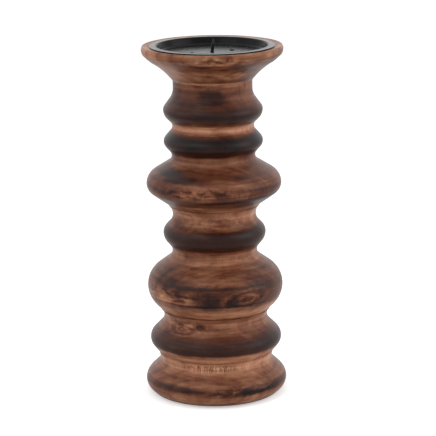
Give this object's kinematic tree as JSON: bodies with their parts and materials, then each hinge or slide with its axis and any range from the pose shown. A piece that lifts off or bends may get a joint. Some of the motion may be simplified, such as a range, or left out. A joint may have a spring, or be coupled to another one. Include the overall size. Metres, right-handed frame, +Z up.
{
  "type": "pricket candle stand",
  "caption": "Tall turned wooden stand of stacked beads and necks, with a flared cup holding a flanged metal drip pan and a pointed pin for a pillar candle.",
  "frame": {"origin": "on the turned axis, in the plane of the felt pads' undersides", "axes": "+Z up the turned axis, +X to the right of someone facing the front, which is the way the pin leans"},
  "size_m": [0.1206, 0.1206, 0.3049],
  "materials": {
    "stained_wood": "brown stain with dark bands, satin lacquer",
    "dowel_wood": "plain beech",
    "pan_black": "satin black",
    "pin_steel": "drawn wire, darkened at the foot",
    "screw_black": "black oxide",
    "felt": "felt"
  },
  "bodies": {
    "root": {"base_column": "stained_wood", "middle_column": "stained_wood", "upper_column": "stained_wood", "top_cup": "stained_wood", "lower_dowel": "dowel_wood", "middle_dowel": "dowel_wood", "upper_dowel": "dowel_wood", "drip_pan": "pan_black", "pricket": "pin_steel", "pan_screws": "screw_black", "felt_pad_right": "felt", "felt_pad_back": "felt", "felt_pad_left": "felt", "felt_pad_front": "felt"}
  },
  "joints": []
}
